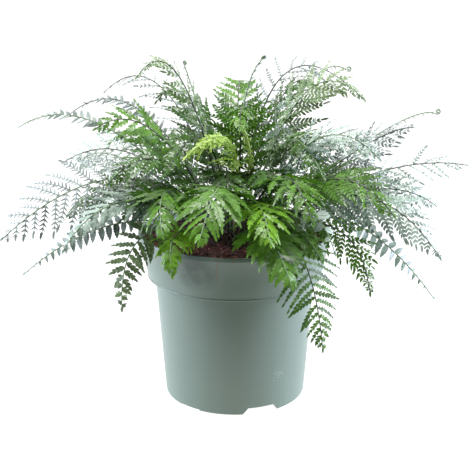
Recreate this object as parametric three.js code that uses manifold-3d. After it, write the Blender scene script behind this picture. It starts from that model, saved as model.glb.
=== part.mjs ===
// A potted fern: a round nursery pot of thin plastic with a tall collar, filled with potting soil, and a fern
// whose short scaly crown stands in the soil. Every frond is a solid of its own: a four-sided rib with its foot
// in a plain hole in the crown, and leaflets cut to the rib. Young fronds end in a coil.
// Millimetres, +Z up, the front of the plant towards -Y, the origin under the pot's axis on the floor.
import * as THREE from "three";
import { mergeVertices } from "three/addons/utils/BufferGeometryUtils.js";
import Module from "manifold-3d";

const wasm = await Module();
wasm.setup();

// Driving dimensions
const pot = {
  sides: 30,
  height: 166,
  rimRadius: 95,
  collarHeight: 43,
  collarFootRadius: 86,
  neckRadius: 79,
  footRadius: 70,
  wall: 1.6,
  lip: 2.4,
  footWidth: 3,
  floorHeight: 8,
  floorThickness: 2,
};
const notch = { count: 3, first: -69, wide: 38, narrow: 26, height: 7, shallow: 1.6, cut: 12 };
const drain = { count: 6, radius: 5, ring: 52, sides: 6 };
const soil = { sides: 30, belowRim: 9, mound: 3, lump: 1.3, gap: 0.3 };
const crown = { sides: 18, radius: 40, depth: 14, shoulder: 34, rise: 7, gap: 0.3 };
const stalk = { half: 1.1, blade: 0.85, end: 0.5, foot: 10, above: 1.6, holeGap: 0.5, rings: 3 };
const blade = { thickness: 0.6, clearance: 0.35, curl: 0.12 };
const rootRing = { inner: 7, outer: 33, lowLift: 8, highLift: 78 };
const rooting = {
  apart: 5,
  turns: [0, 9, -9, 18, -18, 27, -27, 36, -36, 48, -48, 60, -60],
  outward: [0, 5, -5, 10],
  lifts: [0, 5, -5, 10, -10, 15, -15, 20],
};

// Frond kinds: pairs of leaflets, the share of the rib that is bare, the length of a leaflet's foot as a share
// of the leaflet spacing, the outline as [share of the leaflet's length, share of the leaflet spacing], how far
// leaflets lean to the tip, where along the blade they are longest, and how late the blade narrows after that.
const kinds = {
  lacy: {
    pairs: 8, bare: 0.3, foot: 0.42, outline: [[0.42, 0.64]],
    sweep: 24, widest: 0.35, taper: 1.8, base: 0.7,
  },
  far: {
    pairs: 8, bare: 0.3, foot: 0.66, outline: [],
    sweep: 24, widest: 0.35, taper: 1.4, base: 0.7,
  },
  inner: {
    pairs: 7, bare: 0.3, foot: 0.64, outline: [],
    sweep: 24, widest: 0.35, taper: 1.4, base: 0.7,
  },
  leafy: {
    pairs: 7, bare: 0.3, foot: 0.5, outline: [[0.3, 0.8], [0.66, 0.6]],
    sweep: 26, widest: 0.3, taper: 1.4, base: 0.8,
  },
  single: {
    pairs: 8, bare: 0.3, foot: 0.45, outline: [[0.3, 0.85]],
    sweep: 14, widest: 0.25, taper: 1.4, base: 0.85,
  },
  young: {
    pairs: 8, bare: 0.3, foot: 0.5, outline: [[0.45, 0.7]],
    sweep: 34, widest: 0.3, taper: 1.4, base: 0.7,
  },
  crozier: {
    pairs: 3, bare: 0.62, foot: 0.4, outline: [],
    sweep: 40, widest: 0.2, taper: 1.4, base: 0.9,
  },
};

// Fronds that show from the front: the middle and the tip of the rib, the half width of the blade and how far
// its upper face turns to the front, in degrees.
const placed = [
  ["left_wide", "lacy", [-106, -45, 228], [-212, -75, 178], 43, 45],
  ["left_upper_1", "single", [-134, 65, 257], [-225, 85, 252], 15, 35],
  ["left_upper_2", "single", [-101, 110, 266], [-180, 130, 257], 16, 35],
  ["left_upper_3", "far", [-75, 118, 286], [-143, 146, 279], 30, 24],
  ["top_left", "far", [-49, -10, 312], [-90, -26, 318], 34, 35],
  ["left_high", "lacy", [-72, -35, 268], [-126, -58, 276], 40, 45],
  ["left_middle", "far", [-98, 22, 236], [-172, 28, 226], 34, 35],
  ["left_inner", "lacy", [-62, -58, 246], [-112, -86, 232], 36, 35],
  ["left_dense", "far", [-100, -14, 208], [-160, -24, 186], 34, 40],
  ["left_low", "single", [-118, -14, 175], [-204, -28, 129], 16, 40],
  ["left_hanging", "leafy", [-84, -72, 180], [-102, -98, 119], 24, 50],
  ["rim_left", "leafy", [-50, -92, 190], [-54, -126, 160], 24, 20],
  ["top_right", "far", [42, 50, 304], [116, 84, 296], 38, 35],
  ["upper_right", "far", [64, 8, 296], [122, -6, 294], 38, 40],
  ["right_long", "far", [138, 20, 218], [229, 20, 226], 34, 30],
  ["right_middle", "lacy", [112, -8, 244], [166, -24, 272], 36, 40],
  ["right_wide", "lacy", [112, -62, 216], [184, -92, 165], 42, 40],
  ["right_dense", "far", [128, 0, 206], [198, 4, 188], 38, 40],
  ["right_low", "single", [112, -8, 176], [196, -18, 100], 16, 40],
  ["right_inner", "lacy", [84, -66, 232], [140, -100, 206], 38, 35],
  ["front_right_hanging", "lacy", [55, -102, 178], [78, -122, 89], 40, 0],
  ["right_hanging", "lacy", [92, -66, 186], [122, -94, 132], 26, 45],
  ["centre_broad", "leafy", [-12, -96, 233], [-30, -157, 198], 50, 0],
  ["centre_left", "lacy", [-58, -66, 222], [-62, -120, 194], 42, 0],
  ["centre_right", "lacy", [40, -80, 238], [66, -132, 208], 42, 0],
  ["front_broad", "leafy", [26, -104, 194], [48, -156, 160], 38, 0],
  ["centre_young", "young", [-4, -50, 262], [-44, -88, 256], 18, 10],
  ["front_right_single", "single", [60, -80, 207], [86, -124, 180], 17, 20],
  ["right_upper_front", "lacy", [72, -40, 262], [130, -66, 250], 36, 40],
  ["left_front_middle", "leafy", [-96, -74, 214], [-150, -112, 178], 26, 40],
  ["centre_high", "inner", [6, -16, 280], [4, -80, 280], 36, 0],
  ["centre_high_right", "inner", [48, -10, 255], [80, -72, 233], 32, 30],
  ["centre_high_left", "inner", [-27, -12, 256], [-61, -78, 242], 32, 30],
  ["centre_low", "inner", [25, -60, 213], [62, -108, 193], 28, 0],
  ["right_fill", "inner", [82, -30, 227], [129, -62, 206], 32, 40],
  ["left_fill", "inner", [-64, -44, 215], [-100, -80, 200], 30, 40],
  ["centre_front", "leafy", [18, -92, 217], [30, -149, 195], 44, 0],
  ["centre_deep_left", "inner", [-8, -40, 233], [-4, -100, 211], 34, 0],
  ["centre_deep_right", "inner", [24, -42, 234], [38, -98, 213], 34, 0],
  ["rim_right", "leafy", [50, -82, 192], [76, -116, 170], 26, 20],
];

// Croziers: the middle and the tip of the stem, and the radius of the coil where it starts.
const croziers = [
  ["crozier_top_left", [-35, 60, 268], [-52, 80, 318], 2.6],
  ["crozier_top", [8, 44, 276], [29, 50, 328], 2.9],
  ["crozier_top_right", [71, 112, 286], [122, 146, 303], 2.9],
  ["crozier_right", [150, 84, 246], [214, 110, 262], 2.9],
  ["crozier_front", [14, -56, 248], [3, -66, 284], 3.6],
  ["crozier_left", [-110, 62, 222], [-160, 78, 218], 2.8],
];

// Fronds at the back, placed by rule: rows of a height, reach and number, spread over the back half.
const backRows = [
  { name: "back_low", count: 4, from: 26, to: 154, middle: [102, 204], tip: [155, 160], halfWidth: 38 },
  { name: "back_middle", count: 4, from: 16, to: 150, middle: [88, 244], tip: [151, 226], halfWidth: 38 },
  { name: "back_high", count: 3, from: 44, to: 136, middle: [60, 286], tip: [114, 284], halfWidth: 36 },
];
const backSpread = { seed: 7, turn: 5, reach: 10, height: 8 };

const colours = {
  pot: { color: 0x7f9488, roughness: 0.55, metalness: 0 },
  soil: { color: 0x3a2620, roughness: 0.95, metalness: 0 },
  crown: { color: 0x2c1c16, roughness: 0.95, metalness: 0 },
  lacy: { color: 0x4c7a36, roughness: 0.45, metalness: 0 },
  far: { color: 0x436f37, roughness: 0.48, metalness: 0 },
  inner: { color: 0x3f6b35, roughness: 0.47, metalness: 0 },
  leafy: { color: 0x5c9238, roughness: 0.42, metalness: 0 },
  single: { color: 0x6d8f78, roughness: 0.4, metalness: 0 },
  young: { color: 0x9cc046, roughness: 0.5, metalness: 0 },
  crozier: { color: 0x8aa064, roughness: 0.5, metalness: 0 },
};

const soilTop = pot.height - soil.belowRim;
const radians = THREE.MathUtils.degToRad;
const vector = (x, y, z) => new THREE.Vector3(x, y, z);
const upward = vector(0, 0, 1);

// Small repeatable random numbers from 0 to 1.
function randomFrom(seed) {
  let state = seed;
  return () => {
    state = (state * 9301 + 49297) % 233280;
    return state / 233280;
  };
}

// A closed skin of triangles, built face by face.
class Skin {
  constructor() {
    this.points = [];
    this.faces = [];
  }
  add(point) {
    return this.points.push(point.clone()) - 1;
  }
  triangle(a, b, c) {
    this.faces.push(a, b, c);
  }
  quad(a, b, c, d) {
    this.triangle(a, b, c);
    this.triangle(a, c, d);
  }
  solid() {
    const vertProperties = new Float32Array(this.points.flatMap((p) => [p.x, p.y, p.z]));
    return new wasm.Manifold(new wasm.Mesh({ numProp: 3, vertProperties, triVerts: new Uint32Array(this.faces) }));
  }
  geometry() {
    const geometry = new THREE.BufferGeometry();
    const positions = new Float32Array(this.points.flatMap((p) => [p.x, p.y, p.z]));
    geometry.setAttribute("position", new THREE.BufferAttribute(positions, 3));
    geometry.setIndex(this.faces);
    return geometry;
  }
}

function solidFrom(geometry) {
  const bare = new THREE.BufferGeometry();
  bare.setAttribute("position", geometry.getAttribute("position"));
  bare.setIndex(geometry.getIndex());
  const merged = mergeVertices(bare, 1e-3);
  return new wasm.Manifold(
    new wasm.Mesh({
      numProp: 3,
      vertProperties: merged.attributes.position.array,
      triVerts: new Uint32Array(merged.index.array),
    }),
  );
}

function geometryFrom(solid) {
  const mesh = solid.getMesh();
  const geometry = new THREE.BufferGeometry();
  geometry.setAttribute("position", new THREE.BufferAttribute(mesh.vertProperties, 3));
  geometry.setIndex(new THREE.BufferAttribute(mesh.triVerts, 1));
  return geometry;
}

// A turned solid about the Z axis from [radius, height] points, listed from the axis underneath to the axis on top.
function turned(profile, sides) {
  const geometry = new THREE.LatheGeometry(profile.map(([r, z]) => new THREE.Vector2(r, z)), sides);
  return geometry.rotateX(Math.PI / 2);
}

// A slanted-sided block through the foot of the pot at one bearing.
function footCutter(bearing, wide, narrow, height) {
  const outline = new THREE.Shape([
    new THREE.Vector2(-wide / 2, -1),
    new THREE.Vector2(wide / 2, -1),
    new THREE.Vector2(narrow / 2, height),
    new THREE.Vector2(-narrow / 2, height),
  ]);
  const block = new THREE.ExtrudeGeometry(outline, { depth: 2 * notch.cut, bevelEnabled: false });
  block.translate(0, 0, -notch.cut).rotateX(Math.PI / 2).rotateZ(Math.PI / 2);
  return solidFrom(block.translate(pot.footRadius, 0, 0).rotateZ(radians(bearing)));
}

function makePot() {
  const collarFoot = pot.height - pot.collarHeight;
  const innerNeck = pot.neckRadius - pot.wall;
  const profile = [
    [0, pot.floorHeight],
    [pot.footRadius - pot.footWidth, pot.floorHeight],
    [pot.footRadius - pot.footWidth, 0],
    [pot.footRadius, 0],
    [pot.neckRadius, collarFoot - 1.5],
    [pot.collarFootRadius - 1.5, collarFoot],
    [pot.collarFootRadius, collarFoot + 3],
    [pot.rimRadius, pot.height - 2],
    [pot.rimRadius - 0.8, pot.height],
    [pot.rimRadius - pot.lip, pot.height],
    [pot.collarFootRadius - pot.wall, collarFoot + 3],
    [innerNeck, collarFoot - 3],
    [pot.footRadius - pot.wall + 0.6, pot.floorHeight + pot.floorThickness],
    [0, pot.floorHeight + pot.floorThickness],
  ];
  let solid = solidFrom(turned(profile, pot.sides));
  for (let i = 0; i < notch.count; i++) {
    const bearing = notch.first + (i * 360) / notch.count;
    solid = solid.subtract(footCutter(bearing, notch.wide, notch.narrow, notch.height));
    solid = solid.subtract(footCutter(bearing + 180 / notch.count, notch.narrow, notch.narrow - 4, notch.shallow));
  }
  for (let i = 0; i < drain.count; i++) {
    const bearing = radians(notch.first + (i * 360) / drain.count);
    const hole = new THREE.CylinderGeometry(drain.radius, drain.radius, 4 * pot.floorThickness, drain.sides);
    hole.rotateX(Math.PI / 2).translate(drain.ring, 0, pot.floorHeight).rotateZ(bearing);
    solid = solid.subtract(solidFrom(hole));
  }
  return geometryFrom(solid);
}

// Lumps of the soil's surface, in millimetres.
function lump(x, y) {
  return soil.lump * (Math.sin(x * 0.21 + y * 0.13) + Math.sin(y * 0.29 - x * 0.17 + 1.3)) * 0.5;
}

function makeSoil() {
  const collarFoot = pot.height - pot.collarHeight;
  const slope = (pot.rimRadius - pot.lip - pot.collarFootRadius + pot.wall) / (pot.collarHeight - 3);
  const topRadius = pot.collarFootRadius - pot.wall - soil.gap + slope * (soilTop - 1.5 - collarFoot - 3.4);
  const profile = [
    [0, pot.floorHeight + pot.floorThickness + soil.gap],
    [pot.footRadius - pot.wall - soil.gap, pot.floorHeight + pot.floorThickness + soil.gap],
    [pot.neckRadius - pot.wall - soil.gap, collarFoot - 2.6],
    [pot.collarFootRadius - pot.wall - soil.gap, collarFoot + 3.4],
    [topRadius, soilTop - 1.5],
    [topRadius - 12, soilTop],
    [crown.radius + crown.gap, soilTop + soil.mound],
    [crown.radius + crown.gap, soilTop + soil.mound - crown.depth - crown.gap],
    [0, soilTop + soil.mound - crown.depth - crown.gap],
  ];
  const geometry = turned(profile, soil.sides);
  const position = geometry.getAttribute("position");
  for (let i = 0; i < position.count; i++) {
    const radius = Math.hypot(position.getX(i), position.getY(i));
    const open = radius > crown.radius + 2 && radius < topRadius - 2 && position.getZ(i) > soilTop - 1;
    if (open) position.setZ(i, position.getZ(i) + lump(position.getX(i), position.getY(i)));
  }
  return geometry;
}

const crownFoot = soilTop + soil.mound - crown.depth;
const crownSide = [
  [crown.radius, soilTop + soil.mound],
  [crown.shoulder, soilTop + soil.mound + crown.rise * 0.55],
  [crown.shoulder * 0.55, soilTop + soil.mound + crown.rise * 0.9],
  [0, soilTop + soil.mound + crown.rise],
];

// Height of the crown's top at a distance from the axis.
function crownHeight(radius) {
  for (let i = 0; i + 1 < crownSide.length; i++) {
    const [r0, z0] = crownSide[i];
    const [r1, z1] = crownSide[i + 1];
    if (radius >= r1) return z1 + ((z0 - z1) * (radius - r1)) / (r0 - r1);
  }
  return crownSide.at(-1)[1];
}

// The crown, with one plain square hole for each stalk.
function makeCrown(fronds) {
  const profile = [[0, crownFoot], [crown.radius, crownFoot], ...crownSide];
  let solid = solidFrom(turned(profile, crown.sides));
  const width = 2 * (stalk.half + stalk.holeGap);
  for (const { root, bearing } of fronds) {
    const depth = stalk.foot + stalk.above;
    const hole = new THREE.BoxGeometry(width, width, 2 * depth);
    hole.rotateZ(bearing).translate(root.x, root.y, root.z);
    solid = solid.subtract(solidFrom(hole));
  }
  return geometryFrom(solid);
}

// Where a frond leaves the crown: low fronds at the crown's edge, upright ones near its middle.
function rootOf(middle, turn, outward) {
  const bearing = Math.atan2(middle.y, middle.x) + turn;
  const lift = THREE.MathUtils.radToDeg(Math.atan2(middle.z - soilTop, Math.hypot(middle.x, middle.y)));
  const share = THREE.MathUtils.clamp((lift - rootRing.lowLift) / (rootRing.highLift - rootRing.lowLift), 0, 1);
  const own = rootRing.outer + (rootRing.inner - rootRing.outer) * share;
  const radius = THREE.MathUtils.clamp(own + outward, rootRing.inner / 2, rootRing.outer);
  const height = crownHeight(radius) + stalk.above;
  return vector(radius * Math.cos(bearing), radius * Math.sin(bearing), height);
}

// The rib's curve through root, middle and tip, with the blade's own directions along it.
class Rib {
  constructor(root, middle, tip, turn) {
    this.root = root;
    const pull = middle.clone().multiplyScalar(2).addScaledVector(this.root, -0.5).addScaledVector(tip, -0.5);
    this.curve = new THREE.QuadraticBezierCurve3(this.root, pull, tip);
    this.heading = tip.clone().sub(this.root).setZ(0).normalize();
    this.across = this.heading.clone().cross(upward);
    this.bearing = Math.atan2(this.heading.y, this.heading.x);
    this.roll = radians(turn * this.heading.x);
    this.length = this.curve.getLength();
  }
  // Point, tangent, right-hand side and upper normal at a share of the length.
  at(share) {
    const point = this.curve.getPointAt(share);
    const along = this.curve.getTangentAt(share);
    const up = this.across.clone().cross(along).normalize();
    const side = along.clone().cross(up);
    up.applyAxisAngle(along, this.roll);
    side.applyAxisAngle(along, this.roll);
    return { point, along, up, side };
  }
}

// Four corners of the rib's section, in the order right top, right bottom, left bottom, left top.
function sectionAt({ point, side, up }, halfWidth, halfHeight) {
  return [[1, 1], [1, -1], [-1, -1], [-1, 1]].map(([s, u]) =>
    point.clone().addScaledVector(side, s * halfWidth).addScaledVector(up, u * halfHeight),
  );
}

function joinSections(skin, a, b, open = []) {
  for (let k = 0; k < 4; k++) {
    if (open.includes(k)) continue;
    const next = (k + 1) % 4;
    skin.quad(a[k], a[next], b[next], b[k]);
  }
}

// A leaflet's outline: pairs of edge points going outwards, then its tip, bent by fold about the rib.
function leafletOutline(foot, frame, right, kind, length, spacing, sweep, fold) {
  const side = frame.side.clone().multiplyScalar(right ? 1 : -1);
  const up = frame.up.clone();
  const bent = right ? fold : -fold;
  side.applyAxisAngle(frame.along, -bent);
  up.applyAxisAngle(frame.along, -bent);
  const out = side.clone().multiplyScalar(Math.cos(sweep)).addScaledVector(frame.along, Math.sin(sweep));
  const wide = frame.along.clone().multiplyScalar(Math.cos(sweep)).addScaledVector(side, -Math.sin(sweep));
  const place = (share) =>
    foot.clone().addScaledVector(out, length * share).addScaledVector(up, -blade.curl * length * share * share);
  const levels = kind.outline.map(([share, width]) => ({
    near: place(share).addScaledVector(wide, (-width * spacing) / 2),
    far: place(share).addScaledVector(wide, (width * spacing) / 2),
  }));
  return { levels, tip: place(1), up };
}

// Grows a leaflet from the open side of the rib, whose corners are near top, near bottom, far bottom, far top.
function growLeaflet(skin, corners, leaflet, thickness, right) {
  const face = right ? (a, b, c) => skin.triangle(a, b, c) : (a, b, c) => skin.triangle(a, c, b);
  const half = thickness / 2;
  const pair = (p) => [1, -1].map((s) => skin.add(p.clone().addScaledVector(leaflet.up, s * half)));
  let near = [corners[0], corners[1]];
  let far = [corners[3], corners[2]];
  for (const level of leaflet.levels) {
    const n = pair(level.near);
    const f = pair(level.far);
    face(near[0], n[0], f[0]);
    face(near[0], f[0], far[0]);
    face(near[1], f[1], n[1]);
    face(near[1], far[1], f[1]);
    face(near[0], near[1], n[1]);
    face(near[0], n[1], n[0]);
    face(far[0], f[0], f[1]);
    face(far[0], f[1], far[1]);
    near = n;
    far = f;
  }
  const tip = pair(leaflet.tip);
  face(near[0], tip[0], far[0]);
  face(near[1], far[1], tip[1]);
  face(near[0], near[1], tip[1]);
  face(near[0], tip[1], tip[0]);
  face(far[0], tip[0], tip[1]);
  face(far[0], tip[1], far[1]);
}

// The leaflet as a thicker solid of its own, to test whether it is clear of everything else.
function leafletTest(corners, leaflet, right) {
  const skin = new Skin();
  const near = corners[0].clone().add(corners[1]).multiplyScalar(0.5);
  const far = corners[2].clone().add(corners[3]).multiplyScalar(0.5);
  const half = blade.thickness / 2 + blade.clearance;
  const ids = [[near, 1], [near, -1], [far, -1], [far, 1]].map(([p, s]) =>
    skin.add(p.clone().addScaledVector(leaflet.up, s * half)),
  );
  growLeaflet(skin, ids, leaflet, 2 * half, right);
  if (right) skin.quad(ids[0], ids[3], ids[2], ids[1]);
  else skin.quad(ids[0], ids[1], ids[2], ids[3]);
  return skin.solid();
}

const boxesMeet = (a, b) => a.intersectsBox(b);

// Solids already in place, each with its owner and its box.
class Placed {
  constructor() {
    this.items = [];
  }
  put(owner, solid) {
    const { min, max } = solid.boundingBox();
    this.items.push({ owner, solid, box: new THREE.Box3(vector(...min), vector(...max)) });
  }
  clear(owner, solid) {
    const { min, max } = solid.boundingBox();
    const box = new THREE.Box3(vector(...min), vector(...max));
    return this.items.every(
      (item) => item.owner === owner || !boxesMeet(item.box, box) || item.solid.intersect(solid).isEmpty(),
    );
  }
}

// Share of the full leaflet length along the blade, from its foot at 0 to its tip at 1.
function widthShare(kind, u) {
  if (u < kind.widest) return kind.base + (1 - kind.base) * Math.sin((u / kind.widest) * (Math.PI / 2));
  return Math.max(0.12, 1 - ((u - kind.widest) / (1 - kind.widest)) ** kind.taper);
}

// The section's half sizes along the rib: a square stalk that thins and flattens to the tip.
function ribHalf(share, bare) {
  const u = Math.max(0, (share - bare) / (1 - bare));
  const halfWidth = share < bare ? stalk.half + (stalk.blade - stalk.half) * (share / bare) : stalk.blade;
  return [halfWidth + (stalk.end - stalk.blade) * u, (halfWidth + (stalk.end - stalk.blade) * u) * (1 - 0.2 * u)];
}

// Stations of a frond's rib: the stalk's rings, then the foot of each pair of leaflets.
function stationsOf(frond) {
  const { rib, kind } = frond;
  const stalkShares = Array.from({ length: stalk.rings }, (_, i) => (kind.bare * i) / stalk.rings);
  const room = (1 - kind.bare) * (frond.coil ? 1 : 0.94);
  const spacing = room / kind.pairs;
  const footShare = kind.foot * spacing;
  const feet = Array.from({ length: kind.pairs }, (_, i) => {
    const start = kind.bare + i * spacing;
    return { start, end: start + footShare, u: (i + 0.3) / kind.pairs };
  });
  return { stalkShares, feet, spacing: spacing * rib.length };
}

function ribSolid(frond, extra) {
  const skin = new Skin();
  const { rib } = frond;
  const shares = Array.from({ length: 15 }, (_, i) => 0.02 + (0.98 * i) / 14);
  const rings = shares.map((share) => {
    const [halfWidth, halfHeight] = ribHalf(share, frond.kind.bare);
    return sectionAt(rib.at(share), halfWidth + extra, halfHeight + extra).map((p) => skin.add(p));
  });
  skin.quad(rings[0][0], rings[0][3], rings[0][2], rings[0][1]);
  for (let i = 0; i + 1 < rings.length; i++) joinSections(skin, rings[i], rings[i + 1]);
  const last = rings.at(-1);
  skin.quad(last[0], last[1], last[2], last[3]);
  return skin.solid();
}

const leafletBends = [0, 14, -14, 28, -28, 42, -42, 56, -56, 70, -70];
const leafletLengths = [1, 0.8, 0.6, 0.4];

// The first bend and length that keeps a leaflet clear of what is in place, or nothing where none does.
function clearLeaflet(frond, corners, foot, frame, right, length, spacing, sweep, inPlace) {
  for (const share of leafletLengths) {
    for (const bend of leafletBends) {
      const fold = radians(frond.fold + bend);
      const leaflet = leafletOutline(foot, frame, right, frond.kind, length * share, spacing, sweep, fold);
      const test = leafletTest(corners, leaflet, right);
      if (inPlace.clear(frond.name, test)) {
        inPlace.put(frond.name, test);
        return leaflet;
      }
    }
  }
  return null;
}

// The coil at the end of a young frond: ever tighter turns to the upper side.
function growCoil(skin, ring, frame, radius, halfWidth) {
  const steps = 9;
  const turns = 1.3;
  let point = frame.point.clone();
  let along = frame.along.clone();
  let up = frame.up.clone();
  let last = ring;
  for (let i = 1; i <= steps; i++) {
    const share = i / steps;
    const bend = (turns * 2 * Math.PI) / steps;
    const reach = radius * (1 - 0.72 * share) * bend;
    along = along.clone().applyAxisAngle(frame.side, bend / 2);
    point = point.clone().addScaledVector(along, reach);
    along = along.clone().applyAxisAngle(frame.side, bend / 2);
    up = up.clone().applyAxisAngle(frame.side, bend);
    const half = halfWidth * (1 - 0.35 * share);
    const next = sectionAt({ point, side: frame.side, up }, half * 1.6, half).map((p) => skin.add(p));
    joinSections(skin, last, next);
    last = next;
  }
  skin.quad(last[0], last[1], last[2], last[3]);
}

// The ring where the upright foot bends into the stalk, halfway between the two directions.
function kneeRing(skin, rib) {
  const along = rib.at(0).along.add(upward).normalize();
  const up = rib.across.clone().cross(along);
  return sectionAt({ point: rib.root, side: rib.across, up }, stalk.half, stalk.half * 1.1).map((p) => skin.add(p));
}

function makeFrond(frond, inPlace) {
  const { rib, kind } = frond;
  const skin = new Skin();
  const { stalkShares, feet, spacing } = stationsOf(frond);
  const ringAt = (share) => {
    const [halfWidth, halfHeight] = ribHalf(share, kind.bare);
    return sectionAt(rib.at(share), halfWidth, halfHeight).map((p) => skin.add(p));
  };
  const down = rib.root.clone().setZ(rib.root.z - stalk.foot);
  const flatAcross = { point: down, side: rib.across, up: rib.heading.clone().negate() };
  const footRing = sectionAt(flatAcross, stalk.half, stalk.half).map((p) => skin.add(p));
  skin.quad(footRing[0], footRing[3], footRing[2], footRing[1]);
  let last = footRing;
  for (const share of stalkShares) {
    const ring = share > 0 ? ringAt(share) : kneeRing(skin, rib);
    joinSections(skin, last, ring);
    last = ring;
  }
  for (const { start, end, u } of feet) {
    const a = ringAt(start);
    const b = ringAt(end);
    joinSections(skin, last, a);
    const frame = rib.at((start + end) / 2);
    const length = frond.halfWidth * widthShare(kind, u);
    const sweep = radians(kind.sweep + 22 * u);
    const open = [];
    for (const right of [true, false]) {
      const ids = right ? [a[0], a[1], b[1], b[0]] : [a[3], a[2], b[2], b[3]];
      const corners = ids.map((id) => skin.points[id]);
      const foot = corners.reduce((sum, p) => sum.add(p), vector(0, 0, 0)).multiplyScalar(0.25);
      const leaflet = clearLeaflet(frond, corners, foot, frame, right, length, spacing, sweep, inPlace);
      if (!leaflet) continue;
      open.push(right ? 0 : 2);
      growLeaflet(skin, ids, leaflet, blade.thickness, right);
    }
    joinSections(skin, a, b, open);
    last = b;
  }
  const end = rib.at(1);
  if (frond.coil) {
    const [halfWidth, halfHeight] = ribHalf(1, kind.bare);
    const ring = sectionAt(end, halfWidth, halfHeight).map((p) => skin.add(p));
    joinSections(skin, last, ring);
    growCoil(skin, ring, end, frond.coil, halfHeight * 1.3);
  } else {
    growLeaflet(skin, [last[0], last[1], last[2], last[3]], endLeaflet(frond, spacing), blade.thickness, true);
  }
  return skin.geometry();
}

// The leaflet at the very tip of a blade, in line with the rib.
function endLeaflet({ rib }, spacing) {
  const { point, side, up } = rib.at(1);
  const wide = rib.at(0.97);
  return {
    levels: [{
      near: wide.point.clone().addScaledVector(side, spacing * 0.2),
      far: wide.point.clone().addScaledVector(side, -spacing * 0.2),
    }],
    tip: point,
    up,
  };
}

function frondFrom(name, kindName, middle, tip, halfWidth, turn, coil = 0) {
  const fold = kindName === "young" ? 10 : -6;
  const places = { middle: vector(...middle), tip: vector(...tip) };
  return { name, kindName, kind: kinds[kindName], ...places, halfWidth, turn, fold, coil };
}

// The places a frond's root may take, the likeliest first: how far the rib's middle is raised, how far the root
// is moved outwards, and how far it is turned about the crown.
function* rootChoices() {
  for (const lift of rooting.lifts) {
    for (const outward of rooting.outward) {
      for (const turn of rooting.turns) yield { lift, outward, turn: radians(turn) };
    }
  }
}

// Roots a frond in the first place that is apart from the other roots and keeps its rib clear of those in place.
function plant(frond, planted, inPlace) {
  for (const { lift, outward, turn } of rootChoices()) {
    const middle = frond.middle.clone().setZ(frond.middle.z + lift);
    const root = rootOf(middle, turn, outward);
    if (planted.some((other) => other.root.distanceTo(root) < rooting.apart)) continue;
    const rib = new Rib(root, middle, frond.tip, frond.turn);
    const rooted = { ...frond, rib, root, bearing: rib.bearing };
    const solid = ribSolid(rooted, blade.clearance);
    if (!inPlace.clear(frond.name, solid)) continue;
    inPlace.put(frond.name, solid);
    planted.push(rooted);
    return;
  }
  throw new Error(`no clear place for ${frond.name}`);
}

// The back rows' fronds, with small seeded differences of bearing, reach and height.
function backFronds() {
  const random = randomFrom(backSpread.seed);
  const vary = (amount) => (random() * 2 - 1) * amount;
  return backRows.flatMap(({ name, count, from, to, middle, tip, halfWidth }) =>
    Array.from({ length: count }, (_, i) => {
      const bearing = radians(from + ((to - from) * i) / (count - 1) + vary(backSpread.turn));
      const longer = vary(backSpread.reach);
      const higher = vary(backSpread.height);
      const place = ([reach, height], share) => [
        (reach + longer * share) * Math.cos(bearing),
        (reach + longer * share) * Math.sin(bearing),
        height + higher * share,
      ];
      return frondFrom(`frond_${name}_${i + 1}`, "far", place(middle, 0.5), place(tip, 1), halfWidth, 0);
    }),
  );
}

const fronds = [
  ...placed.map(([name, kindName, middle, tip, halfWidth, turn]) =>
    frondFrom(`frond_${name}`, kindName, middle, tip, halfWidth, turn),
  ),
  ...backFronds(),
  ...croziers.map(([name, middle, tip, coil]) => frondFrom(name, "crozier", middle, tip, 7, 0, coil)),
];

const group = new THREE.Group();
function addPart(name, geometry, colour) {
  const part = new THREE.Mesh(geometry, new THREE.MeshStandardMaterial(colours[colour]));
  part.name = name;
  group.add(part);
}

const inPlace = new Placed();
const potGeometry = makePot();
const soilGeometry = makeSoil();
inPlace.put("pot", solidFrom(potGeometry));
inPlace.put("soil", solidFrom(soilGeometry));

const planted = [];
for (const frond of fronds) plant(frond, planted, inPlace);
const crownGeometry = makeCrown(planted);
inPlace.put("crown", solidFrom(crownGeometry));

addPart("pot", potGeometry, "pot");
addPart("soil", soilGeometry, "soil");
addPart("crown", crownGeometry, "crown");
for (const frond of planted) addPart(frond.name, makeFrond(frond, inPlace), frond.kindName);

export default group;
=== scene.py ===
# A fern in a round nursery pot: finely cut fronds, coiled young fronds, scaly crown, fibrous soil.
import bpy
import math
import numpy as np
from mathutils import Matrix, Vector, noise


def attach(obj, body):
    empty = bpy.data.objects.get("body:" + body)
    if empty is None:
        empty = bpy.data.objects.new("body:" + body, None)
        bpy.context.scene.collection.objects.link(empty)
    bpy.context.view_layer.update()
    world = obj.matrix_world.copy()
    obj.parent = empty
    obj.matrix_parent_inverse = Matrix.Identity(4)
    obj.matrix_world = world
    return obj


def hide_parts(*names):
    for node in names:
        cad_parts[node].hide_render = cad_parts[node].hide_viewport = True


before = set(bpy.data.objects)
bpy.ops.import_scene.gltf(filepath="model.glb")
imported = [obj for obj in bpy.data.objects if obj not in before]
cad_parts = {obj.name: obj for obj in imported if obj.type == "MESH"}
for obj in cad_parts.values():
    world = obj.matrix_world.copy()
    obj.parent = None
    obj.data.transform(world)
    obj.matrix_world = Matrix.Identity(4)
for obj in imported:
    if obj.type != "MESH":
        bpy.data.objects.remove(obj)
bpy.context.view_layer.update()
mm = 0.001
print("frame loaded")


# small helpers

def hexColour(text):
    channels = [int(text[i:i + 2], 16) / 255 for i in (1, 3, 5)]
    return [c / 12.92 if c <= 0.04045 else ((c + 0.055) / 1.055) ** 2.4 for c in channels] + [1]


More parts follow.
